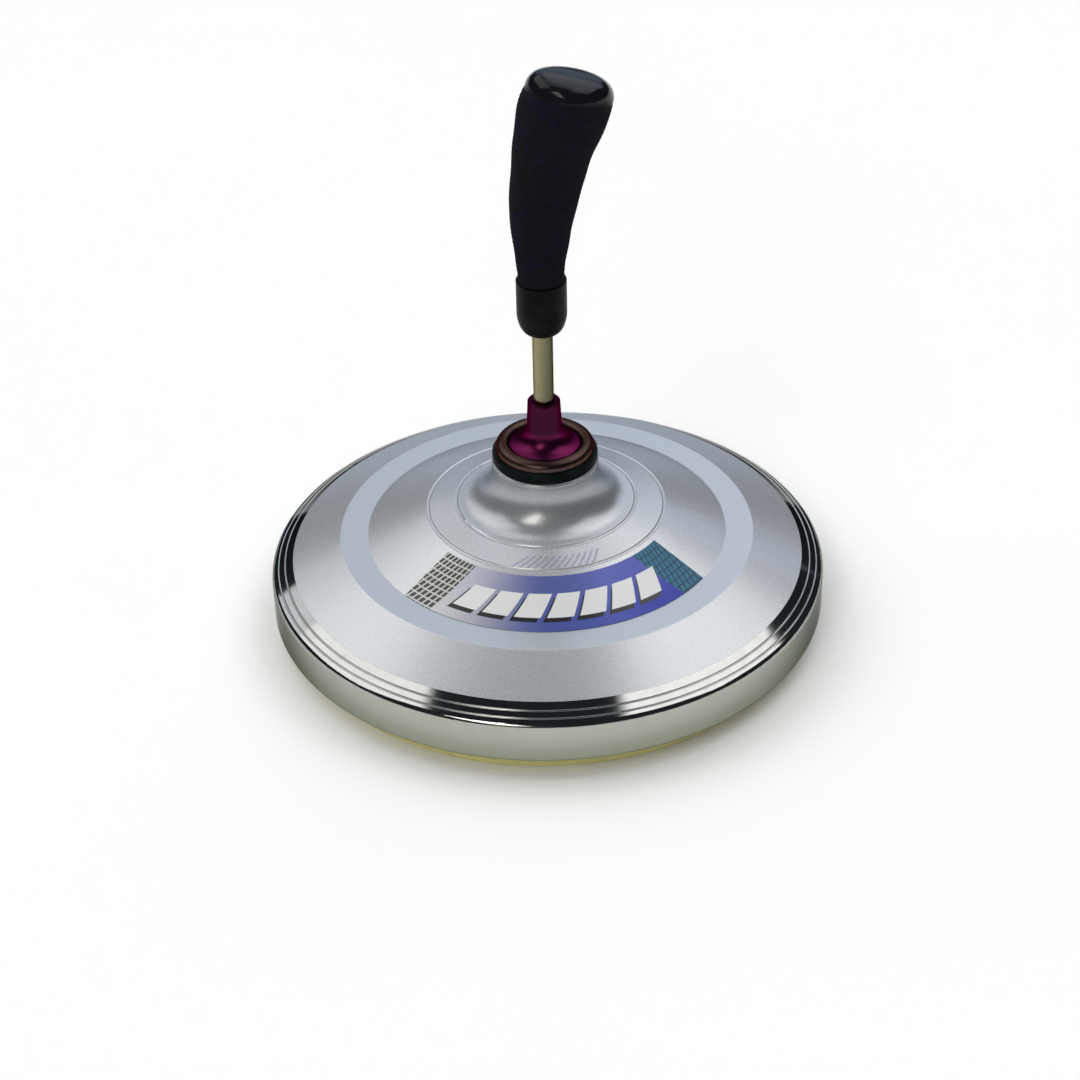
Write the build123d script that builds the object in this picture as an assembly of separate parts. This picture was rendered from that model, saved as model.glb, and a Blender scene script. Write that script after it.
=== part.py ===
from build123d import *
import os
from math import cos, radians, sin, tan

# Ice stock, in millimetres. A bell with a steel ring stands on a running sole, and a handle
# that screws into the sole clamps the two together. The origin is on the axis, on the
# underside of the sole. +Z runs up the handle, and the top of the grip leans towards +X.

FIT = 0.05                    # gap between pieces that are pressed, screwed or bonded together
THREAD_FIT = 0.08             # radial gap between the rod's thread and the sole's insert
SLIDING_GAP = 0.3             # gap between the sole and the stock, which slide apart

# Running sole
SOLE_RADIUS = 130
TREAD_THICKNESS = 8
TREAD_EDGE_ROUNDING = 1.5
CARRIER_RADIUS = 128
CARRIER_THICKNESS = 5
SOLE_TOP = TREAD_THICKNESS + CARRIER_THICKNESS
SOLE_CHAMFER = 1
TREAD_BORE = 21
INSERT_FLANGE_RADIUS = 20
INSERT_FLANGE_THICKNESS = 3
INSERT_BOTTOM = TREAD_THICKNESS - INSERT_FLANGE_THICKNESS
SPIGOT_RADIUS = 12
SPIGOT_TOP = 20
SOLE_SCREW_COUNT = 4
SOLE_SCREW_CIRCLE = 15.7
SOLE_SCREW_RADIUS = 1.5
SOLE_SCREW_LENGTH = 7

# Steel ring around the stock
RING_RADIUS = 140
RING_BOTTOM = 11.5
RING_WALL_TOP = 32.5
RING_WALL_THICKNESS = 7
RING_BOTTOM_ROUNDING = 1.5
RING_EDGE_ROUNDING = 3.2
BEVEL_SLOPE = 30
BEVEL_INNER_RADIUS = 129.1
BEVEL_TOP = RING_WALL_TOP + (RING_RADIUS - BEVEL_INNER_RADIUS) * tan(radians(BEVEL_SLOPE))
BEVEL_GROOVES = (133.1, 136.5)
BEVEL_GROOVE_WIDTH = 1.2
BEVEL_GROOVE_DEPTH = 0.45
LEDGE_WIDTH = 3.6
LEDGE_THICKNESS = 3
LEDGE_TOP = BEVEL_TOP - 2.4

# Bell-shaped hood: an outer cone, a flat band, an inner cone, a shoulder and a waisted hub
HOOD_THICKNESS = 2
BELL_SLOPE = 25
BAND_OUTER_RADIUS = 104.2
BAND_INNER_RADIUS = 90.5
BAND_ROUNDING = 1.5
SHOULDER_RADIUS = 60.2
SHOULDER_SLOPE = 14
COVE_RADIUS = 43.5
NECK_RADIUS = 26.6
NECK_HEIGHT = 89
HUB_TOP = 92.2
HUB_ROUNDING = 1.5
BELL_GROOVES = ((59.2, BELL_SLOPE), (45, SHOULDER_SLOPE))
BELL_GROOVE_WIDTH = 2
BELL_GROOVE_DEPTH = 0.45

# Inside of the stock
BASE_PLATE_THICKNESS = 3
BASE_PLATE_RADIUS = 132.8
CORE_BOTTOM = SOLE_TOP + BASE_PLATE_THICKNESS
CORE_RADIUS = 129.2
CORE_SKIN = 6
POCKET_INNER_RADIUS = 32
POCKET_OUTER_RADIUS = 117
RIB_COUNT = 12
RIB_THICKNESS = 3
BASE_SCREW_COUNT = 6
BASE_SCREW_CIRCLE = 100
BASE_SCREW_RADIUS = 2.5
BASE_SCREW_LENGTH = 18
BOSS_RADIUS = 6
BUSH_BORE = 5.6
BUSH_RADIUS = 8
BUSH_BOTTOM = 23
BUSH_FLANGE_RADIUS = 11
BUSH_FLANGE_THICKNESS = 1.5
NUT_POCKET_RADIUS = 15
NUT_POCKET_TOP = 32
NUT_RADIUS = 13.5
NUT_HEIGHT = 6
WASHER_RADIUS = 14
WASHER_THICKNESS = 1.5

# Coloured foil on the bell's inner cone. It starts to the left of the front, as angles about Z.
FOIL_INNER_RADIUS = 62.5
FOIL_OUTER_RADIUS = 90.2
FOIL_THICKNESS = 0.25
FOIL_START = -140.5
FOIL_SPAN = 108

# Clamping stack on the hub
RUBBER_RADIUS = 26.2
RUBBER_THICKNESS = 5.4
RUBBER_ROUNDING = 1.3
RUBBER_TOP = HUB_TOP + RUBBER_THICKNESS
DISH_FLOOR = RUBBER_TOP + 2
DISH_FLOOR_RADIUS = 17.7
DISH_LIP_RADIUS = 21.2
DISH_LIP_TOP = 102.7
DISH_RADIUS = 24.4
DISH_LIP_DIRECTIONS = ((0.2, 1), (-0.6, -1))
CONE_FOOT_RADIUS = 17.3
CONE_FOOT_TOP = 101
CONE_FLARE_DIRECTIONS = ((-1, 0.3), (-0.03, 1))
CONE_WAIST_RADIUS = 8.9
CONE_WAIST_HEIGHT = 111.5
CONE_TOP_RADIUS = 8
CONE_TOP = 125.8
CONE_CHAMFER = 0.8
CONE_PIN_HEIGHT = 118
CONE_PIN_LENGTH = 15.6
PIN_RADIUS = 1.5

# Handle
ROD_RADIUS = 5
ROD_BOTTOM = 5.5
ROD_TOP = 262
ROD_CHAMFER = 1
COLLAR_BOTTOM = 164
COLLAR_MOUTH_RADIUS = 6.6
COLLAR_RADIUS = 12.2
COLLAR_WALL_START = 175.5
COLLAR_FLOOR = 170
GRIP_START = 192
GRIP_END = 287.6
GRIP_SPIGOT_RADIUS = 8.9
LEAN_START = 205
GRIP_LEAN = 14.6
LEAN_POWER = 1.9
GRIP_TILT = 11
# height and half width of each cross-section of the grip, from the collar to the cap
GRIP_SECTIONS = (
    (GRIP_START, 11.2),
    (218, 14.7),
    (239, 17),
    (259, 19.2),
    (274, 21.3),
    (282, 21.6),
    (GRIP_END, 20.6),
)
GRIP_DEPTH_RATIO = 0.84
DEPTH_CHANGE_TOP = 245
SLEEVE_THICKNESS = 2.2
GRIP_PIN_HEIGHT = 225
GRIP_PIN_LENGTH = 22
CAP_HEIGHT = 7.4
CAP_ROUNDING = 7
CAP_PLUG_RADIUS = 6
CAP_PLUG_LENGTH = 9


def turned(outline):
    """Solid of revolution about Z from an outline of radii and heights. A last line closes it."""
    closing_line = Line(outline @ 1, outline @ 0)
    return revolve(make_face(Plane.XZ * (outline + closing_line)), Axis.Z)


def disc(radius, bottom, top, bore=0):
    """Flat round plate, or a tube if it has a bore."""
    outline = Circle(radius)
    if bore:
        outline -= Circle(bore)
    return Pos(0, 0, bottom) * extrude(outline, top - bottom)


def edges_at(solid, *places):
    """Round edges of a turned solid, at the given radii and heights."""
    return [
        edge
        for edge in solid.edges().filter_by(GeomType.CIRCLE)
        for radius, height in places
        if abs(edge.radius - radius) < FIT and abs(edge.position_at(0).Z - height) < FIT
    ]


def round_groove(radius, height, slope, width, depth):
    """Cutter for a shallow round groove in a surface that falls outwards at the slope."""
    cutter_radius = (width**2 / 4 + depth**2) / (2 * depth)
    lift = cutter_radius - depth
    outwards = radius + lift * sin(radians(slope))
    upwards = height + lift * cos(radians(slope))
    return revolve(Plane.XZ * Pos(outwards, upwards) * Circle(cutter_radius), Axis.Z)


def flat_head_screw(radius, length, slot=True):
    """Countersunk screw that points up, with its head at the origin."""
    screw = extrude(Circle(radius), length)
    screw += Pos(0, 0, radius / 2) * Cone(2 * radius, radius, radius)
    if slot:
        screw -= Box(4 * radius, radius / 2, radius)
    return screw


def around(shape, count, radius, height):
    """Copies of a shape, spaced evenly on a circle."""
    return [Rot(0, 0, 360 * i / count) * Pos(radius, 0, height) * shape for i in range(count)]


# ---- running sole ----


def sole_tread():
    tread = disc(SOLE_RADIUS, 0, TREAD_THICKNESS, bore=TREAD_BORE)
    return fillet(edges_at(tread, (SOLE_RADIUS, 0)), TREAD_EDGE_ROUNDING)


def in_the_insert(screw):
    return around(screw, SOLE_SCREW_COUNT, SOLE_SCREW_CIRCLE, INSERT_BOTTOM)


def sole_screws():
    return Compound(in_the_insert(flat_head_screw(SOLE_SCREW_RADIUS, SOLE_SCREW_LENGTH)))


def sole_screw_holes():
    return in_the_insert(flat_head_screw(SOLE_SCREW_RADIUS + FIT, SOLE_SCREW_LENGTH + FIT, slot=False))


def sole_carrier():
    carrier = disc(CARRIER_RADIUS, TREAD_THICKNESS, SOLE_TOP, bore=SPIGOT_RADIUS + FIT)
    return chamfer(edges_at(carrier, (CARRIER_RADIUS, SOLE_TOP)), SOLE_CHAMFER) - sole_screw_holes()


def sole_insert():
    insert = disc(INSERT_FLANGE_RADIUS, INSERT_BOTTOM, TREAD_THICKNESS)
    insert += disc(SPIGOT_RADIUS, TREAD_THICKNESS, SPIGOT_TOP)
    insert = chamfer(edges_at(insert, (SPIGOT_RADIUS, SPIGOT_TOP)), SOLE_CHAMFER)
    insert -= disc(ROD_RADIUS + THREAD_FIT, INSERT_BOTTOM, SPIGOT_TOP)
    return insert - sole_screw_holes()


# ---- stock ----


def bell_height(radius):
    """Height of the bell's outer surface, outside the hub."""
    rise = tan(radians(BELL_SLOPE))
    band = BEVEL_TOP + (BEVEL_INNER_RADIUS - BAND_OUTER_RADIUS) * rise
    if radius > BAND_OUTER_RADIUS:
        return BEVEL_TOP + (BEVEL_INNER_RADIUS - radius) * rise
    if radius > BAND_INNER_RADIUS:
        return band
    if radius > SHOULDER_RADIUS:
        return band + (BAND_INNER_RADIUS - radius) * rise
    shoulder = band + (BAND_INNER_RADIUS - SHOULDER_RADIUS) * rise
    return shoulder + (SHOULDER_RADIUS - radius) * tan(radians(SHOULDER_SLOPE))


def bell(inset, edge_radius, base):
    """Solid bell, its surface moved inwards by the inset, and filled down to the base height."""
    drop = inset / cos(radians(BELL_SLOPE))
    cone_radii = (edge_radius, BAND_OUTER_RADIUS, BAND_INNER_RADIUS, SHOULDER_RADIUS)
    cones = [(radius, bell_height(radius) - drop) for radius in cone_radii]
    cove_foot = bell_height(COVE_RADIUS) - inset
    neck = NECK_RADIUS - inset
    cove = EllipticalCenterArc(
        (COVE_RADIUS, NECK_HEIGHT),
        COVE_RADIUS - neck,
        NECK_HEIGHT - cove_foot,
        start_angle=180,
        arc_size=90,
    )
    outline = Polyline((0, base), (edge_radius, base), *cones, (COVE_RADIUS, cove_foot))
    outline += cove
    outline += Polyline((neck, NECK_HEIGHT), (neck, HUB_TOP - inset), (0, HUB_TOP - inset), (0, base))
    return revolve(make_face(Plane.XZ * outline), Axis.Z)


def hood():
    shell = bell(0, BEVEL_INNER_RADIUS - FIT, LEDGE_TOP)
    band = bell_height(BAND_INNER_RADIUS)
    corners = edges_at(shell, (BAND_OUTER_RADIUS, band), (BAND_INNER_RADIUS, band))
    shell = fillet(corners, BAND_ROUNDING)
    shell = fillet(edges_at(shell, (NECK_RADIUS, HUB_TOP)), HUB_ROUNDING)
    shell -= bell(HOOD_THICKNESS, BEVEL_INNER_RADIUS - HOOD_THICKNESS, RING_WALL_TOP)
    shell -= disc(BUSH_RADIUS + FIT, NECK_HEIGHT, HUB_TOP)
    for radius, slope in BELL_GROOVES:
        height = bell_height(radius)
        shell -= round_groove(radius, height, slope, BELL_GROOVE_WIDTH, BELL_GROOVE_DEPTH)
    return shell


def steel_ring():
    wall = RING_RADIUS - RING_WALL_THICKNESS
    ledge = BEVEL_INNER_RADIUS - LEDGE_WIDTH
    outline = Polyline(
        (wall, RING_BOTTOM),
        (RING_RADIUS, RING_BOTTOM),
        (RING_RADIUS, RING_WALL_TOP),
        (BEVEL_INNER_RADIUS, BEVEL_TOP),
        (BEVEL_INNER_RADIUS, LEDGE_TOP),
        (ledge, LEDGE_TOP),
        (ledge, LEDGE_TOP - LEDGE_THICKNESS),
        (wall, LEDGE_TOP - LEDGE_THICKNESS),
    )
    ring = turned(outline)
    ring = fillet(edges_at(ring, (RING_RADIUS, RING_WALL_TOP)), RING_EDGE_ROUNDING)
    ring = fillet(edges_at(ring, (RING_RADIUS, RING_BOTTOM)), RING_BOTTOM_ROUNDING)
    for radius in BEVEL_GROOVES:
        height = BEVEL_TOP - (radius - BEVEL_INNER_RADIUS) * tan(radians(BEVEL_SLOPE))
        ring -= round_groove(radius, height, BEVEL_SLOPE, BEVEL_GROOVE_WIDTH, BEVEL_GROOVE_DEPTH)
    return ring


def damping_ring():
    outer = RING_RADIUS - RING_WALL_THICKNESS - FIT
    return disc(outer, CORE_BOTTOM, LEDGE_TOP - LEDGE_THICKNESS, bore=CORE_RADIUS + FIT)


def in_the_base(shape, height):
    return around(shape, BASE_SCREW_COUNT, BASE_SCREW_CIRCLE, height)


def base_screws():
    return Compound(in_the_base(flat_head_screw(BASE_SCREW_RADIUS, BASE_SCREW_LENGTH), SOLE_TOP))


def base_screw_holes():
    hole = flat_head_screw(BASE_SCREW_RADIUS + FIT, BASE_SCREW_LENGTH + FIT, slot=False)
    return in_the_base(hole, SOLE_TOP)


def base_plate():
    plate = disc(BASE_PLATE_RADIUS, SOLE_TOP, CORE_BOTTOM, bore=SPIGOT_RADIUS + SLIDING_GAP)
    return plate - base_screw_holes()


def core_pockets():
    """Hollows under the core's skin, between its ribs and screw bosses."""
    corners = (BAND_OUTER_RADIUS, BAND_INNER_RADIUS, SHOULDER_RADIUS)
    radii = (POCKET_OUTER_RADIUS, *corners, POCKET_INNER_RADIUS)
    roof = [(radius, bell_height(radius) - HOOD_THICKNESS - CORE_SKIN) for radius in radii]
    outline = Polyline((POCKET_INNER_RADIUS, CORE_BOTTOM), (POCKET_OUTER_RADIUS, CORE_BOTTOM), *roof)
    rib = Box(POCKET_OUTER_RADIUS, RIB_THICKNESS, 2 * HUB_TOP)
    boss = extrude(Circle(BOSS_RADIUS), HUB_TOP)
    ribs = around(rib, RIB_COUNT, POCKET_OUTER_RADIUS / 2, 0)
    return turned(outline) - ribs - in_the_base(boss, 0)


def stock_core():
    core = bell(HOOD_THICKNESS + FIT, BEVEL_INNER_RADIUS - LEDGE_WIDTH - FIT, CORE_BOTTOM)
    core += disc(CORE_RADIUS, CORE_BOTTOM, LEDGE_TOP - LEDGE_THICKNESS - FIT)
    core -= core_pockets()
    core -= disc(NUT_POCKET_RADIUS, CORE_BOTTOM, NUT_POCKET_TOP)
    core -= disc(BUSH_RADIUS + FIT, CORE_BOTTOM, HUB_TOP)
    return core - base_screw_holes()


def hub_bush():
    bush = disc(BUSH_RADIUS, BUSH_BOTTOM, HUB_TOP)
    bush += disc(BUSH_FLANGE_RADIUS, HUB_TOP, HUB_TOP + BUSH_FLANGE_THICKNESS)
    return bush - disc(BUSH_BORE, BUSH_BOTTOM, HUB_TOP + BUSH_FLANGE_THICKNESS)


def bush_washer():
    return disc(WASHER_RADIUS, NUT_POCKET_TOP - WASHER_THICKNESS, NUT_POCKET_TOP, bore=BUSH_RADIUS + FIT)


def bush_nut():
    outline = RegularPolygon(NUT_RADIUS, 6) - Circle(BUSH_RADIUS + FIT)
    return Pos(0, 0, NUT_POCKET_TOP - WASHER_THICKNESS) * extrude(outline, -NUT_HEIGHT)


def label_foil():
    """Thin sheet that lies on the bell's inner cone."""
    slope = radians(BELL_SLOPE)
    top = FIT + FOIL_THICKNESS
    inner = FOIL_INNER_RADIUS
    outer = FOIL_OUTER_RADIUS
    corners = ((inner, FIT), (outer, FIT), (outer, top), (inner, top))
    points = [(r + lift * sin(slope), bell_height(r) + lift * cos(slope)) for r, lift in corners]
    sheet = revolve(make_face(Plane.XZ * Polyline(*points, close=True)), Axis.Z, FOIL_SPAN)
    return Rot(0, 0, FOIL_START) * sheet


# ---- clamping stack, carried by the stock ----


def rubber_washer():
    washer = disc(RUBBER_RADIUS, HUB_TOP, RUBBER_TOP)
    outer_edges = edges_at(washer, (RUBBER_RADIUS, HUB_TOP), (RUBBER_RADIUS, RUBBER_TOP))
    washer = fillet(outer_edges, RUBBER_ROUNDING)
    washer -= disc(BUSH_FLANGE_RADIUS + FIT, HUB_TOP, HUB_TOP + BUSH_FLANGE_THICKNESS + FIT)
    return washer - disc(BUSH_BORE, HUB_TOP, RUBBER_TOP)


def thrust_ring():
    """Dished ring with a rounded lip, in which the handle's cone turns."""
    outer_wall = (DISH_RADIUS, RUBBER_TOP)
    lip_top = (DISH_LIP_RADIUS, DISH_LIP_TOP)
    inner_wall = (DISH_FLOOR_RADIUS, CONE_FOOT_TOP)
    outline = Polyline((BUSH_BORE, DISH_FLOOR), (BUSH_BORE, RUBBER_TOP), outer_wall)
    outline += Spline(outer_wall, lip_top, inner_wall, tangents=DISH_LIP_DIRECTIONS)
    outline += Line(inner_wall, (DISH_FLOOR_RADIUS, DISH_FLOOR))
    outline += Line((DISH_FLOOR_RADIUS, DISH_FLOOR), (BUSH_BORE, DISH_FLOOR))
    return revolve(make_face(Plane.XZ * outline), Axis.Z)


# ---- handle ----


def pin_across(height, length, radius=PIN_RADIUS):
    """Pin through the axis, along X."""
    return Pos(-length / 2, 0, height) * Rot(0, 90, 0) * extrude(Circle(radius), length)


def rod_pin():
    return pin_across(CONE_PIN_HEIGHT, CONE_PIN_LENGTH)


def grip_pin():
    return Rot(0, 0, 90) * pin_across(GRIP_PIN_HEIGHT, GRIP_PIN_LENGTH)


def pin_holes():
    cone_hole = pin_across(CONE_PIN_HEIGHT, 2 * CONE_PIN_LENGTH, PIN_RADIUS + FIT)
    grip_hole = Rot(0, 0, 90) * pin_across(GRIP_PIN_HEIGHT, GRIP_PIN_LENGTH + 2 * FIT, PIN_RADIUS + FIT)
    return [cone_hole, grip_hole]


def handle_rod():
    rod = disc(ROD_RADIUS, ROD_BOTTOM, ROD_TOP)
    ends = edges_at(rod, (ROD_RADIUS, ROD_BOTTOM), (ROD_RADIUS, ROD_TOP))
    return chamfer(ends, ROD_CHAMFER) - pin_holes()


def flange_cone():
    """Cone with a flared foot, pinned to the rod."""
    bore = ROD_RADIUS + FIT
    foot = (CONE_FOOT_RADIUS, CONE_FOOT_TOP)
    waist = (CONE_WAIST_RADIUS, CONE_WAIST_HEIGHT)
    top = (CONE_TOP_RADIUS, CONE_TOP)
    outline = Polyline((bore, CONE_TOP), (bore, DISH_FLOOR), (CONE_FOOT_RADIUS, DISH_FLOOR), foot)
    outline += Spline(foot, waist, tangents=CONE_FLARE_DIRECTIONS)
    outline += Polyline(waist, top, (bore, CONE_TOP))
    cone = revolve(make_face(Plane.XZ * outline), Axis.Z)
    return chamfer(edges_at(cone, top), CONE_CHAMFER) - pin_holes()


def grip_reach(height):
    """How far up the leaning part of the grip a height is, from 0 to 1."""
    return max(0, height - LEAN_START) / (GRIP_END - LEAN_START)


def on_the_grip(height):
    """Place on the grip's centre line, tilted more and more towards the top."""
    reach = grip_reach(height)
    return Pos(GRIP_LEAN * reach**LEAN_POWER, 0, height) * Rot(0, GRIP_TILT * reach, 0)


def grip_section(half_width, height, inset=0):
    """Cross-section of the grip, round at the collar and oval further up."""
    change = min(1, (height - GRIP_START) / (DEPTH_CHANGE_TOP - GRIP_START))
    half_depth = half_width * (1 - (1 - GRIP_DEPTH_RATIO) * change)
    return Ellipse(half_width - inset, half_depth - inset)


def grip_body(inset):
    sections = [
        on_the_grip(height) * grip_section(half_width, height, inset)
        for height, half_width in GRIP_SECTIONS
    ]
    return loft(sections)


def grip_sleeve():
    return grip_body(0) - grip_body(SLEEVE_THICKNESS)


def grip_core():
    core = grip_body(SLEEVE_THICKNESS + FIT)
    core += disc(GRIP_SPIGOT_RADIUS, COLLAR_FLOOR, GRIP_START)
    core -= disc(ROD_RADIUS + FIT, COLLAR_FLOOR, ROD_TOP + FIT)
    core -= on_the_grip(GRIP_END) * extrude(Circle(CAP_PLUG_RADIUS + FIT), -CAP_PLUG_LENGTH - FIT)
    return core - pin_holes()


def grip_collar():
    """Rounded collar over the lower end of the grip."""
    bore = ROD_RADIUS + FIT
    socket = GRIP_SPIGOT_RADIUS + FIT
    rounding = EllipticalCenterArc(
        (COLLAR_MOUTH_RADIUS, COLLAR_WALL_START),
        COLLAR_RADIUS - COLLAR_MOUTH_RADIUS,
        COLLAR_WALL_START - COLLAR_BOTTOM,
        start_angle=270,
        arc_size=90,
    )
    outline = Polyline((bore, COLLAR_FLOOR), (bore, COLLAR_BOTTOM), (COLLAR_MOUTH_RADIUS, COLLAR_BOTTOM))
    outline += rounding
    outline += Polyline(
        (COLLAR_RADIUS, COLLAR_WALL_START),
        (COLLAR_RADIUS, GRIP_START),
        (socket, GRIP_START),
        (socket, COLLAR_FLOOR),
        (bore, COLLAR_FLOOR),
    )
    return revolve(make_face(Plane.XZ * outline), Axis.Z)


def top_cap():
    cap = extrude(grip_section(GRIP_SECTIONS[-1][1], GRIP_END), CAP_HEIGHT)
    cap = fillet(cap.faces().sort_by(Axis.Z)[-1].edges(), CAP_ROUNDING)
    return on_the_grip(GRIP_END) * (cap + extrude(Circle(CAP_PLUG_RADIUS), -CAP_PLUG_LENGTH))


PIECES = [
    sole_tread,
    sole_carrier,
    sole_insert,
    sole_screws,
    steel_ring,
    hood,
    stock_core,
    damping_ring,
    base_plate,
    base_screws,
    hub_bush,
    bush_washer,
    bush_nut,
    label_foil,
    rubber_washer,
    thrust_ring,
    flange_cone,
    rod_pin,
    handle_rod,
    grip_core,
    grip_pin,
    grip_sleeve,
    grip_collar,
    top_cap,
]

os.makedirs("parts", exist_ok=True)
for piece in PIECES:
    export_step(piece(), f"parts/{piece.__name__}.step")
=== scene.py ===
from math import cos, pi, radians, sin

import bpy
from mathutils import Matrix, Quaternion, Vector
from mathutils.bvhtree import BVHTree


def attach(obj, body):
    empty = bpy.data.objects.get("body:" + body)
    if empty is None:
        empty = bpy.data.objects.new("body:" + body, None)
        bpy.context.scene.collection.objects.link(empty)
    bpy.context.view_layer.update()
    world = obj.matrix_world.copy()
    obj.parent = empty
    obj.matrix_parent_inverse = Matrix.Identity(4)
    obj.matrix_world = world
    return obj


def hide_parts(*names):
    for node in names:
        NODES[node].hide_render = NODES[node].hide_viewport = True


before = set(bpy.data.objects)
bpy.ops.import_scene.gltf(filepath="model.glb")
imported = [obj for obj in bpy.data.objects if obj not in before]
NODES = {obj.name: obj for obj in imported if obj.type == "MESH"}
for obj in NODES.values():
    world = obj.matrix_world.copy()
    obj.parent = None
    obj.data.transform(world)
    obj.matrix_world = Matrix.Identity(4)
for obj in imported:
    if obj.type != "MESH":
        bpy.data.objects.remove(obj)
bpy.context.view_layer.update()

# Ice stock, in metres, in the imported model's frame: origin on the axis under the sole, +Z up.
# The camera looks from the front, which is -Y.

MM = 0.001

# Camera
CAMERA_PLACE = Vector((0, -1.0686, 0.7729))
CAMERA_AIM = Vector((-0.0035, 0, 0.0422))
CAMERA_ROLL = radians(-1.37)
CAMERA_LENS = 84.92
CAMERA_SENSOR = 36

# Soft boxes above the stock: left and right edges, near and far edges, and colour, at a height of 1
OVERHEAD_PANELS = (
    ((-1.55, -0.47), (-0.2, 0.9), (1.38, 1.37, 1.35)),
    ((-1.75, -0.47), (0.9, 1.9), (0.95, 0.97, 1.0)),
    ((0.27, 1.04), (-0.2, 1.02), (1.5, 1.49, 1.48)),
    ((-0.75, -0.3), (-2.0, -0.65), (4.0, 3.85, 3.4)),
    ((-0.42, 0.25), (0.13, 0.98), (0.75, 0.78, 0.82)),
)
# Pale wall behind the stock: left and right edges, low and high edges, and colour, at a distance of 1
BACKDROP_PANELS = (
    ((-0.37, 0.37), (0.10, 0.38), (0.32, 0.42, 0.54)),
    ((-0.32, -0.05), (0.38, 1.0), (0.32, 0.41, 0.50)),
    ((-0.05, 0.60), (0.38, 1.0), (0.76, 0.84, 0.94)),
    ((0.60, 0.84), (0.46, 1.05), (0.80, 0.90, 1.10)),
)
PANEL_EDGE = 0.03
SKY_COLOUR = (0.018, 0.022, 0.026)
SKY_SEEN_DIRECTLY = (0.99, 0.99, 0.99)
FILL_STRENGTH = 1.58

# Places on the stock and the handle where a finish changes, or where painted shade or a painted highlight
# fades in: radii and heights in mm, angles in degrees
BAND_RADII = (90.5, 104.2)
FOIL_INNER_RADIUS = 62.5
HATCH_LEFT_EDGE = -33.5
HATCH_RIGHT_EDGE = 41.6
HATCH_PITCH = (2.15, 3.4)
BAR_RADII = (71.5, 83.5)
BAR_START = -32
BAR_END = 44
BAR_PITCH = 11
BAR_SHADOW = (2.2, -1.4)
STROKE_RADII = (50.5, 58)
STROKE_START = -15
STROKE_COUNT = 12
STROKE_PITCH = 3.6
HUB_SHADE_FADE = (40, 33)
WALL_SHADE_FADE = (13, 30)
BEVEL_FADE = (32, 33)
CONE_FOOT_HIGHLIGHT_FADE = (112, 107)

# Knitted sleeve: the grip's leaning centre line, and the size of the stitches
GRIP_START = 192 * MM
GRIP_END = 287.6 * MM
LEAN_START = 205 * MM
GRIP_LEAN = 14.6 * MM
LEAN_POWER = 1.9
GRIP_TILT = radians(11)
CAP_CROWN_RADIUS = 60 * MM
STITCH_COLUMNS = 46
STITCH_ROWS = 44
STEPS_AROUND_STITCH = 7
STEPS_ALONG_STITCH = 6
STITCH_DEPTH = 0.55 * MM
SLACK_DEPTH = 0.7 * MM
HEM_ROWS = 1.5
INNER_ROWS = 24
END_MARGIN = 0.15 * MM
CAST_LENGTH = 60 * MM


# ---- nodes of a material ----


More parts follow.
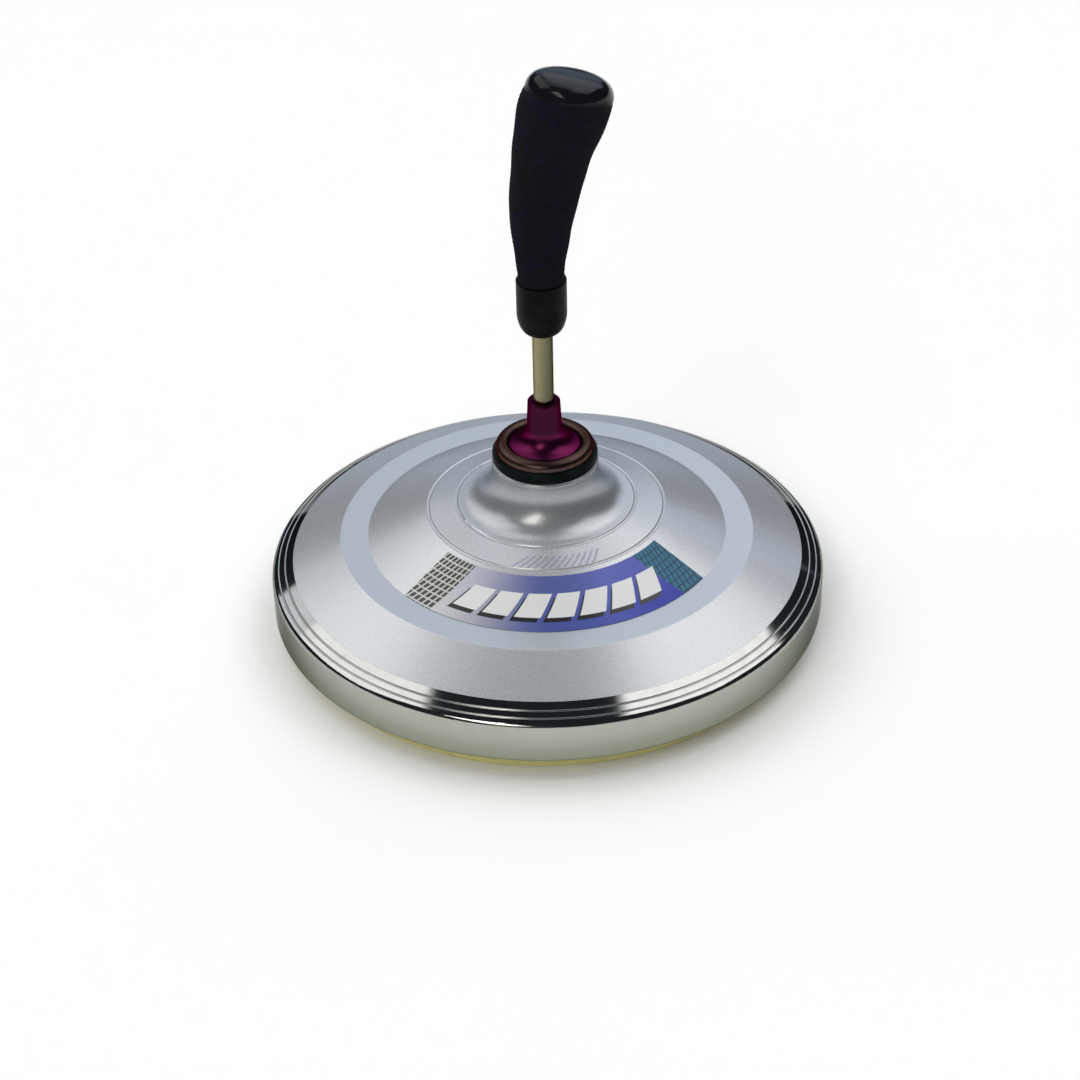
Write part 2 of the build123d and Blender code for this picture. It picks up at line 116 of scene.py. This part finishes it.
class Surface:
    """One procedural material. Its calls add nodes and return their output sockets."""

    def __init__(self, name, tree=None):
        if tree is None:
            self.material = bpy.data.materials.new(name)
            self.material.use_nodes = True
            tree = self.material.node_tree
            self.shader = tree.nodes["Principled BSDF"]
            self.point = tree.nodes.new("ShaderNodeTexCoord").outputs["Object"]
        self.tree = tree

    def feed(self, socket, value):
        """A socket takes another socket as a link, and anything else as its own value."""
        if isinstance(value, bpy.types.NodeSocket):
            self.tree.links.new(value, socket)
        else:
            socket.default_value = value

    def node(self, kind, inputs, **settings):
        made = self.tree.nodes.new(kind)
        for name, value in settings.items():
            setattr(made, name, value)
        for name, value in inputs.items():
            self.feed(made.inputs[name], value)
        return made

    def calc(self, operation, *values, clamp=False):
        inputs = dict(enumerate(values))
        return self.node("ShaderNodeMath", inputs, operation=operation, use_clamp=clamp).outputs[0]

    def vector(self, operation, *values):
        made = self.node("ShaderNodeVectorMath", dict(enumerate(values)), operation=operation)
        return made.outputs["Value" if operation == "DOT_PRODUCT" else "Vector"]

    def fade(self, value, low, high):
        """0 below low and 1 above high, smooth in between. It runs the other way if low is larger."""
        inputs = {"Value": value, "From Min": low, "From Max": high}
        made = self.node("ShaderNodeMapRange", inputs, interpolation_type="SMOOTHSTEP")
        return made.outputs["Result"]

    def between(self, value, low, high, edge):
        rise = self.fade(value, low - edge, low + edge)
        return self.calc("MULTIPLY", rise, self.fade(value, high + edge, high - edge))

    def every(self, *masks):
        """Where all of the masks are 1."""
        product = masks[0]
        for mask in masks[1:]:
            product = self.calc("MULTIPLY", product, mask)
        return product

    def noise(self, size, detail=2, roughness=0.5, stretch=(1, 1, 1), point=None):
        """Noise from 0 to 1. The size is in metres, and the stretch makes it longer along X, Y and Z."""
        scale = tuple(1 / (size * s) for s in stretch)
        place = self.vector("MULTIPLY", point or self.point, scale)
        inputs = {"Vector": place, "Scale": 1, "Detail": detail, "Roughness": roughness}
        return self.node("ShaderNodeTexNoise", inputs).outputs["Fac"]

    def specks(self, size):
        """Distance from the middle of scattered specks, 0 at the middle."""
        inputs = {"Vector": self.point, "Scale": 1 / size}
        return self.node("ShaderNodeTexVoronoi", inputs).outputs["Distance"]

    def mix(self, share, first, second):
        made = self.tree.nodes.new("ShaderNodeMix")
        made.data_type = "RGBA"
        self.feed(made.inputs[0], share)
        self.feed(made.inputs[6], tint(first))
        self.feed(made.inputs[7], tint(second))
        return made.outputs[2]

    def ramp(self, value, low, high):
        """A number that goes from low to high as the value goes from 0 to 1."""
        inputs = {"Value": value, "To Min": low, "To Max": high}
        return self.node("ShaderNodeMapRange", inputs).outputs["Result"]

    def bump(self, height, depth, normal=None):
        """Relief. The depth is in metres, between heights of 0 and 1."""
        inputs = {"Height": height, "Distance": depth, "Strength": 1}
        if normal is not None:
            inputs["Normal"] = normal
        return self.node("ShaderNodeBump", inputs).outputs["Normal"]

    def polar(self):
        """Distance from the axis in mm, angle in degrees (0 in front, + to the right) and height in mm."""
        axes = self.node("ShaderNodeSeparateXYZ", {"Vector": self.point}).outputs
        square = self.calc("ADD", self.calc("POWER", axes[0], 2), self.calc("POWER", axes[1], 2))
        radius = self.calc("DIVIDE", self.calc("SQRT", square), MM)
        ahead = self.calc("MULTIPLY", axes[1], -1)
        angle = self.calc("MULTIPLY", self.calc("ARCTAN2", axes[0], ahead), 180 / pi)
        return radius, angle, self.calc("DIVIDE", axes[2], MM)

    def turning_marks(self, pitch):
        """Fine uneven rings about the axis, as a lathe or a polishing wheel leaves, from 0 to 1."""
        radius, _, height = self.polar()
        place = self.node("ShaderNodeCombineXYZ", {"X": radius, "Z": height}).outputs["Vector"]
        inputs = {"Vector": place, "Scale": 1 / pitch, "Detail": 3, "Roughness": 0.6}
        return self.node("ShaderNodeTexNoise", inputs).outputs["Fac"]

    def finish(self, **values):
        """Feeds the shader's sockets. Words stand for its names, such as base for Base Color."""
        names = {
            "base": "Base Color",
            "rough": "Roughness",
            "metal": "Metallic",
            "normal": "Normal",
            "coat": "Coat Weight",
            "coat_rough": "Coat Roughness",
            "sheen": "Sheen Weight",
            "sheen_rough": "Sheen Roughness",
            "specular": "Specular IOR Level",
            "edge": "Specular Tint",
        }
        for word, value in values.items():
            self.feed(self.shader.inputs[names[word]], tint(value))
        return self.material


def tint(colour):
    """A colour as a node socket takes it. A socket stays as it is."""
    return (*colour, 1) if isinstance(colour, tuple) else colour


def dress(material, *names):
    """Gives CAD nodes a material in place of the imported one."""
    for name in names:
        for slot in NODES[name].material_slots:
            slot.material = material


# ---- materials ----


def chrome():
    s = Surface("polished_chrome")
    wander = s.noise(26 * MM, detail=3, stretch=(1, 1, 0.5))
    smears = s.noise(7 * MM, detail=4, roughness=0.6, stretch=(1, 1, 3))
    scratches = s.turning_marks(0.35)
    _, _, height = s.polar()
    bevel = s.fade(height, *BEVEL_FADE)
    # Painted shade: the wall is painted darker towards its bottom, standing in for the shadowed floor that
    # it reflects.
    wall = s.mix(s.fade(height, *WALL_SHADE_FADE), (0.30, 0.325, 0.26), (0.44, 0.45, 0.41))
    base = s.mix(bevel, wall, (0.57, 0.575, 0.565))
    base = s.mix(s.calc("MULTIPLY", s.fade(smears, 0.35, 0.75), 0.25), base, (0.35, 0.36, 0.33))
    rough = s.calc("ADD", s.ramp(smears, 0.03, 0.10), s.ramp(bevel, 0.12, 0))
    waves = s.bump(wander, 0.015 * MM)
    edge = s.mix(bevel, (0.32, 0.33, 0.31), (0.02, 0.022, 0.026))
    normal = s.bump(scratches, 0.0008 * MM, waves)
    return s.finish(base=base, rough=rough, metal=1.0, edge=edge, normal=normal)


def satin_silver():
    """Lacquered metallic silver, with a row of plain slanted strokes printed on the shoulder, and painted
    shade on the hub.
    """
    s = Surface("satin_silver")
    radius, angle, _ = s.polar()
    flake = s.specks(0.35 * MM)
    cloud = s.noise(35 * MM, detail=3)
    paint = s.mix(s.fade(flake, 0.1, 0.7), (0.64, 0.655, 0.675), (0.60, 0.615, 0.64))
    paint = s.mix(s.ramp(cloud, 0, 0.25), paint, (0.51, 0.535, 0.57))
    band = s.between(radius, *BAND_RADII, 0.4)
    paint = s.mix(s.calc("MULTIPLY", band, 0.6), paint, (0.62, 0.67, 0.73))
    # Painted shade: the hub's cove and neck are painted darker than the rest of the hood.
    hub = s.fade(radius, *HUB_SHADE_FADE)
    paint = s.mix(s.calc("MULTIPLY", hub, 0.68), paint, (0.34, 0.36, 0.38))
    slant = s.calc("ADD", angle, s.calc("MULTIPLY", s.calc("SUBTRACT", radius, 54), 0.9))
    step = s.calc("FRACT", s.calc("DIVIDE", s.calc("SUBTRACT", slant, STROKE_START), STROKE_PITCH))
    length = s.between(slant, STROKE_START, STROKE_START + STROKE_COUNT * STROKE_PITCH, 0.1)
    row = s.every(length, s.between(radius, *STROKE_RADII, 0.25))
    strokes = s.every(row, s.between(step, 0.2, 0.62, 0.05))
    paint = s.mix(s.calc("MULTIPLY", strokes, 0.6), paint, (0.20, 0.22, 0.36))
    rough = s.ramp(flake, 0.25, 0.31)
    rough = s.calc("ADD", rough, s.calc("MULTIPLY", band, 0.08))
    marks = s.bump(s.turning_marks(0.6), 0.0025 * MM)
    metal = s.ramp(strokes, 0.65, 0.5)
    normal = s.bump(flake, 0.0008 * MM, marks)
    edge = (0.14, 0.21, 0.33)
    return s.finish(base=paint, rough=rough, metal=metal, normal=normal, edge=edge, specular=0.08)


def printed_foil():
    """Banner that runs from silver to blue, with a row of slanted bars and a hatched patch at each end."""
    s = Surface("printed_foil")
    radius, angle, _ = s.polar()
    out = s.calc("SUBTRACT", radius, FOIL_INNER_RADIUS)
    grain = s.specks(0.5 * MM)
    silver = s.mix(grain, (0.56, 0.57, 0.60), (0.47, 0.48, 0.50))
    blue = s.mix(s.fade(angle, -33, 1), silver, (0.10, 0.13, 0.44))
    blue = s.mix(s.fade(angle, 2, 40), blue, (0.019, 0.028, 0.28))
    blue = s.mix(s.calc("MULTIPLY", s.fade(out, 26, 4), 0.2), blue, (0.25, 0.28, 0.55))
    end = s.calc("ADD", HATCH_RIGHT_EDGE, s.calc("MULTIPLY", out, 0.205))
    past_end = s.fade(s.calc("SUBTRACT", angle, end), -0.4, 0.4)
    start = s.calc("SUBTRACT", HATCH_LEFT_EDGE, s.calc("MULTIPLY", out, 0.215))
    before_start = s.fade(s.calc("SUBTRACT", angle, start), 0.4, -0.4)

    leaning = s.calc("ADD", angle, s.calc("MULTIPLY", out, 0.25))
    across = s.calc("FRACT", s.calc("DIVIDE", leaning, HATCH_PITCH[0]))
    along = s.calc("FRACT", s.calc("DIVIDE", out, HATCH_PITCH[1]))
    mesh = s.every(s.between(across, 0.15, 0.85, 0.06), s.between(along, 0.1, 0.9, 0.06))
    grey_hatch = s.mix(mesh, (0.50, 0.50, 0.49), (0.045, 0.045, 0.04))
    teal_hatch = s.mix(mesh, (0.006, 0.034, 0.07), (0.008, 0.12, 0.20))

    colour = s.mix(past_end, blue, teal_hatch)
    colour = s.mix(before_start, colour, grey_hatch)
    shadow = bars(s, radius, angle, *BAR_SHADOW)
    colour = s.mix(shadow, colour, (0.012, 0.012, 0.014))
    face = bars(s, radius, angle, 0, 0)
    colour = s.mix(face, colour, (0.68, 0.69, 0.68))
    metal = s.ramp(s.calc("MAXIMUM", face, shadow), 0.55, 0.05)
    edge = s.bump(s.calc("MAXIMUM", face, shadow), 0.02 * MM)
    rough = s.ramp(grain, 0.26, 0.36)
    return s.finish(base=colour, rough=rough, metal=metal, normal=edge, coat=0.3, coat_rough=0.15)


def bars(s, radius, angle, outwards, sideways):
    """Mask of seven equal slanted bars round the foil, moved by mm outwards and degrees sideways."""
    moved_radius = s.calc("SUBTRACT", radius, outwards)
    moved_angle = s.calc("SUBTRACT", angle, sideways)
    from_middle = s.calc("SUBTRACT", moved_radius, sum(BAR_RADII) / 2)
    slanted = s.calc("ADD", moved_angle, s.calc("MULTIPLY", from_middle, 0.35))
    step = s.calc("FRACT", s.calc("DIVIDE", s.calc("SUBTRACT", slanted, BAR_START), BAR_PITCH))
    bar = s.between(step, 0.05, 0.86, 0.015)
    row = s.between(slanted, BAR_START + 0.4, BAR_END, 0.2)
    return s.every(bar, row, s.between(moved_radius, *BAR_RADII, 0.15))


def black_rubber(name, shade, roughness, specular=0.05):
    s = Surface(name)
    grain = s.noise(0.6 * MM, detail=4, roughness=0.7)
    bloom = s.noise(9 * MM, detail=3)
    base = s.mix(s.fade(bloom, 0.35, 0.8), shade, tuple(2.2 * c + 0.004 for c in shade))
    rough = s.ramp(bloom, roughness - 0.08, roughness + 0.12)
    return s.finish(base=base, rough=rough, normal=s.bump(grain, 0.02 * MM), specular=specular)


def turned_metal(name, bright, dark, rough, pitch, depth, edge=(1, 1, 1)):
    """Metal with the fine rings that turning leaves, and patches of a darker tone."""
    s = Surface(name)
    rings = s.turning_marks(pitch)
    patches = s.noise(6 * MM, detail=4, roughness=0.6)
    base = s.mix(s.calc("MULTIPLY", s.fade(patches, 0.3, 0.8), s.ramp(rings, 0.5, 1)), bright, dark)
    spread = s.ramp(rings, rough - 0.05, rough + 0.09)
    return s.finish(base=base, rough=spread, metal=1.0, normal=s.bump(rings, depth), edge=edge)


def anodised_cone():
    """Dark red anodised metal, with a painted highlight that makes the flared foot brighter."""
    s = Surface("anodised_cone")
    _, _, height = s.polar()
    rings = s.turning_marks(0.25)
    patches = s.noise(6 * MM, detail=4, roughness=0.6)
    # Painted highlight: the flared foot is painted brighter than the upper part of the same anodised
    # piece.
    foot = s.fade(height, *CONE_FOOT_HIGHLIGHT_FADE)
    base = s.mix(foot, (0.052, 0.0085, 0.026), (0.135, 0.014, 0.068))
    base = s.mix(s.calc("MULTIPLY", s.fade(patches, 0.3, 0.8), 0.3), base, (0.045, 0.005, 0.02))
    rough = s.ramp(rings, 0.24, 0.38)
    normal = s.bump(rings, 0.003 * MM)
    return s.finish(base=base, rough=rough, metal=1.0, edge=(0.5, 0.25, 0.4), normal=normal)


def drawn_rod():
    """Nickel-plated rod with grinding lines along it, and painted shade on its right side."""
    s = Surface("nickel_rod")
    lines = s.noise(0.5 * MM, detail=4, roughness=0.7, stretch=(1, 1, 60))
    stain = s.noise(14 * MM, detail=3, stretch=(1, 1, 2))
    _, angle, _ = s.polar()
    base = s.mix(s.fade(stain, 0.3, 0.75), (0.36, 0.33, 0.20), (0.27, 0.245, 0.14))
    # Painted shade: the rod's right side is painted darker.
    base = s.mix(s.fade(angle, -50, 55), base, (0.11, 0.105, 0.065))
    rough = s.ramp(lines, 0.2, 0.36)
    normal = s.bump(lines, 0.006 * MM)
    return s.finish(base=base, rough=rough, metal=1.0, normal=normal, edge=(0.2, 0.19, 0.14))


def moulded_plastic(name, shade, grain_size=0.9, roughness=0.5):
    s = Surface(name)
    grain = s.noise(grain_size * MM, detail=4, roughness=0.65)
    flow = s.noise(22 * MM, detail=3, stretch=(1, 1, 3))
    base = s.mix(s.fade(flow, 0.3, 0.8), shade, tuple(0.72 * c for c in shade))
    rough = s.ramp(grain, roughness - 0.08, roughness + 0.1)
    return s.finish(base=base, rough=rough, normal=s.bump(grain, 0.03 * MM))


def running_rubber():
    """Olive sole rubber, scuffed in arcs on its underside."""
    s = Surface("sole_rubber")
    grain = s.noise(0.8 * MM, detail=4, roughness=0.7)
    dirt = s.noise(28 * MM, detail=4, roughness=0.6)
    scuffs = s.noise(1.6 * MM, detail=3, stretch=(14, 1, 1))
    base = s.mix(s.fade(dirt, 0.3, 0.75), (0.80, 0.75, 0.30), (0.68, 0.63, 0.26))
    base = s.mix(s.calc("MULTIPLY", s.fade(scuffs, 0.6, 0.8), 0.4), base, (0.14, 0.13, 0.06))
    relief = s.bump(scuffs, 0.04 * MM)
    return s.finish(base=base, rough=s.ramp(dirt, 0.55, 0.75), normal=s.bump(grain, 0.03 * MM, relief))


def gloss_cap():
    """Glossy black on top, and duller down at the rim, where it meets the sleeve."""
    s = Surface("gloss_cap")
    from_seat = s.vector("SUBTRACT", s.point, (GRIP_LEAN, 0, GRIP_END))
    lift = s.calc("DIVIDE", s.vector("DOT_PRODUCT", from_seat, (sin(GRIP_TILT), 0, cos(GRIP_TILT))), MM)
    along = s.vector("DOT_PRODUCT", from_seat, (cos(GRIP_TILT), 0, -sin(GRIP_TILT)))
    across = s.vector("DOT_PRODUCT", from_seat, (0, 1, 0))
    square = s.calc("ADD", s.calc("POWER", along, 2), s.calc("POWER", across, 2))
    dome = s.bump(s.calc("DIVIDE", square, -2 * CAP_CROWN_RADIUS), 1)
    ripple = s.noise(11 * MM, detail=2)
    dust = s.noise(0.5 * MM, detail=4, roughness=0.8)
    base = s.mix(s.fade(dust, 0.55, 0.8), (0.006, 0.007, 0.009), (0.016, 0.017, 0.02))
    rough = s.ramp(dust, 0.05, 0.2)
    shine = s.ramp(s.fade(lift, 1, 4), 0.03, 0.24)
    return s.finish(base=base, rough=rough, normal=s.bump(ripple, 0.05 * MM, dome), specular=shine)


def knitted_yarn():
    """Black and navy yarn with a light fuzz. The stitches themselves are in the mesh."""
    s = Surface("knitted_yarn")
    fibres = s.noise(0.25 * MM, detail=3, roughness=0.7, stretch=(1, 1, 4))
    heather = s.noise(4 * MM, detail=4, roughness=0.7)
    patches = s.noise(16 * MM, detail=2)
    base = s.mix(s.fade(heather, 0.4, 0.65), (0.0045, 0.0042, 0.005), (0.0065, 0.0052, 0.021))
    base = s.mix(s.calc("MULTIPLY", s.fade(patches, 0.4, 0.7), 0.6), base, (0.006, 0.006, 0.007))
    base = s.mix(s.calc("MULTIPLY", fibres, 0.25), base, (0.014, 0.014, 0.018))
    normal = s.bump(fibres, 0.08 * MM)
    rough = s.ramp(fibres, 0.75, 0.95)
    return s.finish(base=base, rough=rough, normal=normal, specular=0.08, sheen=0.02, sheen_rough=0.5)


def plain_floor():
    s = Surface("plain_floor")
    cloud = s.noise(0.4, detail=2)
    base = s.mix(cloud, (0.975, 0.975, 0.97), (0.955, 0.955, 0.955))
    return s.finish(base=base, rough=s.ramp(cloud, 0.75, 0.85), specular=0.1)


bronze_edge = (0.3, 0.2, 0.16)
bronze = turned_metal(
    "bronze", (0.10, 0.066, 0.058), (0.068, 0.037, 0.033), 0.3, 0.3, 0.004 * MM, edge=bronze_edge
)
steel = turned_metal("ground_steel", (0.42, 0.42, 0.41), (0.32, 0.32, 0.31), 0.28, 0.3, 0.004 * MM)
zinc = turned_metal("zinc_steel", (0.60, 0.61, 0.62), (0.46, 0.47, 0.47), 0.3, 0.4, 0.004 * MM)
brass = turned_metal("turned_brass", (0.68, 0.47, 0.20), (0.52, 0.34, 0.14), 0.26, 0.35, 0.005 * MM)

dress(chrome(), "steel_ring")
dress(satin_silver(), "hood")
dress(printed_foil(), "label_foil")
dress(black_rubber("washer_rubber", (0.002, 0.0045, 0.005), 0.45), "rubber_washer")
dress(black_rubber("collar_rubber", (0.003, 0.003, 0.003), 0.4), "grip_collar")
dress(black_rubber("damping_rubber", (0.012, 0.012, 0.012), 0.6), "damping_ring")
dress(bronze, "thrust_ring")
dress(anodised_cone(), "flange_cone")
dress(steel, "rod_pin", "grip_pin")
dress(zinc, "sole_screws", "base_screws", "hub_bush", "bush_washer", "bush_nut")
dress(brass, "sole_insert")
dress(drawn_rod(), "handle_rod")
dress(moulded_plastic("core_plastic", (0.03, 0.03, 0.032)), "stock_core", "base_plate", "grip_core")
dress(moulded_plastic("carrier_plastic", (0.30, 0.28, 0.09)), "sole_carrier")
dress(running_rubber(), "sole_tread")
dress(gloss_cap(), "top_cap")


# ---- knitted sleeve ----


def grip_place(height):
    """Frame of the grip's cross-section at a height: its centre line leans, and its planes tilt."""
    reach = max(0, height - LEAN_START) / (GRIP_END - LEAN_START)
    centre = Matrix.Translation((GRIP_LEAN * reach**LEAN_POWER, 0, height))
    return centre @ Matrix.Rotation(GRIP_TILT * reach, 4, "Y")


def sleeve_wall(tree, height, angle, outside):
    """Centre, direction and reach of the CAD sleeve's outer or inner wall at a height and an angle."""
    safe = min(max(height, GRIP_START + END_MARGIN), GRIP_END - END_MARGIN)
    place = grip_place(safe)
    direction = place.to_3x3() @ Vector((cos(angle), sin(angle), 0))
    centre = place.translation
    if outside:
        hit = tree.ray_cast(centre + CAST_LENGTH * direction, -direction)[0]
    else:
        hit = tree.ray_cast(centre, direction)[0]
    return grip_place(height).translation, direction, (hit - centre).length


def stitch_height(column, row):
    """Height of the knit from 0 to 1: each stitch is a V of two crowned legs."""
    across = abs(2 * (column % 1) - 1)
    leg = sin(pi * across) ** 0.7 if across < 1 else 0
    crown = 0.5 + 0.5 * cos(2 * pi * (row + 0.75 * across))
    return leg * (0.35 + 0.65 * crown**0.8)


def slack(angle, height):
    """How far the knit sinks into shallow folds and hollows, from 0 to 1."""
    folds = sin(5 * angle + height / (3.1 * MM))
    hollows = sin(3 * angle - height / (4.7 * MM)) + sin(2 * angle + height / (7.9 * MM))
    return 0.5 + (folds + hollows) / 6


def knitted_sleeve():
    tree = BVHTree.FromObject(NODES["grip_sleeve"], bpy.context.evaluated_depsgraph_get())
    around = STITCH_COLUMNS * STEPS_AROUND_STITCH
    rows = STITCH_ROWS * STEPS_ALONG_STITCH
    points = []
    for i in range(rows + 1):
        share = i / rows
        height = GRIP_START + share * (GRIP_END - GRIP_START)
        row = share * STITCH_ROWS
        hem = min(1, row / HEM_ROWS, (STITCH_ROWS - row) / HEM_ROWS)
        for k in range(around):
            angle = 2 * pi * k / around
            centre, direction, reach = sleeve_wall(tree, height, angle, True)
            knit = stitch_height(k / STEPS_AROUND_STITCH, row) * hem + 0.5 * (1 - hem)
            sink = STITCH_DEPTH * (1 - knit) + SLACK_DEPTH * slack(angle, height) * hem
            points.append(centre + (reach - sink) * direction)
    for i in range(INNER_ROWS + 1):
        height = GRIP_END + i / INNER_ROWS * (GRIP_START - GRIP_END)
        for k in range(around):
            centre, direction, reach = sleeve_wall(tree, height, 2 * pi * k / around, False)
            points.append(centre + reach * direction)
    rings = rows + 1 + INNER_ROWS + 1
    faces = [
        (
            ring * around + k,
            ring * around + (k + 1) % around,
            (ring + 1) % rings * around + (k + 1) % around,
            (ring + 1) % rings * around + k,
        )
        for ring in range(rings)
        for k in range(around)
    ]
    mesh = bpy.data.meshes.new("knitted_sleeve")
    mesh.from_pydata(points, [], faces)
    mesh.shade_smooth()
    mesh.materials.append(knitted_yarn())
    piece = bpy.data.objects.new("knitted_sleeve", mesh)
    bpy.context.scene.collection.objects.link(piece)
    return piece


sleeve = knitted_sleeve()
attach(sleeve, "handle")
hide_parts("grip_sleeve")


# ---- floor, light and camera ----


def floor():
    half = 6
    corners = [(-half, -half, 0), (half, -half, 0), (half, half, 0), (-half, half, 0)]
    mesh = bpy.data.meshes.new("floor")
    mesh.from_pydata(corners, [], [(0, 1, 2, 3)])
    mesh.materials.append(plain_floor())
    made = bpy.data.objects.new("floor", mesh)
    bpy.context.scene.collection.objects.link(made)
    return made


def studio_sky():
    """Soft studio light: overhead panels with dark gaps between them, and a pale wall behind."""
    world = bpy.data.worlds.new("studio")
    world.use_nodes = True
    sky = Surface("studio", world.node_tree)
    direction = sky.tree.nodes.new("ShaderNodeTexCoord").outputs["Generated"]
    x, y, z = sky.node("ShaderNodeSeparateXYZ", {"Vector": direction}).outputs
    up = sky.calc("MAXIMUM", z, 0.01)
    back = sky.calc("MAXIMUM", y, 0.01)
    colour = SKY_COLOUR
    for panels, second_axis, distance in ((OVERHEAD_PANELS, y, up), (BACKDROP_PANELS, z, back)):
        first = sky.calc("DIVIDE", x, distance)
        second = sky.calc("DIVIDE", second_axis, distance)
        for sides, ends, shade in panels:
            wide = sky.between(first, *sides, PANEL_EDGE)
            tall = sky.between(second, *ends, PANEL_EDGE)
            colour = sky.mix(sky.every(wide, tall), colour, shade)
    seen = sky.tree.nodes.new("ShaderNodeLightPath").outputs["Is Camera Ray"]
    colour = sky.mix(seen, colour, SKY_SEEN_DIRECTLY)
    background = sky.tree.nodes["Background"]
    sky.feed(background.inputs["Color"], colour)
    bpy.context.scene.world = world


def fill_light():
    """Wide light from above that shiny surfaces don't show."""
    light = bpy.data.lights.new("fill", "SUN")
    light.energy = FILL_STRENGTH
    light.angle = radians(110)
    made = bpy.data.objects.new("fill", light)
    made.visible_glossy = False
    made.rotation_euler = (radians(12), radians(-10), 0)
    bpy.context.scene.collection.objects.link(made)


def camera():
    data = bpy.data.cameras.new("camera")
    data.lens = CAMERA_LENS
    data.sensor_width = CAMERA_SENSOR
    made = bpy.data.objects.new("camera", data)
    aim = (CAMERA_AIM - CAMERA_PLACE).to_track_quat("-Z", "Y")
    made.rotation_mode = "QUATERNION"
    made.rotation_quaternion = aim @ Quaternion((0, 0, 1), CAMERA_ROLL)
    made.location = CAMERA_PLACE
    bpy.context.scene.collection.objects.link(made)
    bpy.context.scene.camera = made


floor()
studio_sky()
fill_light()
camera()
bpy.context.scene.view_settings.view_transform = "Standard"
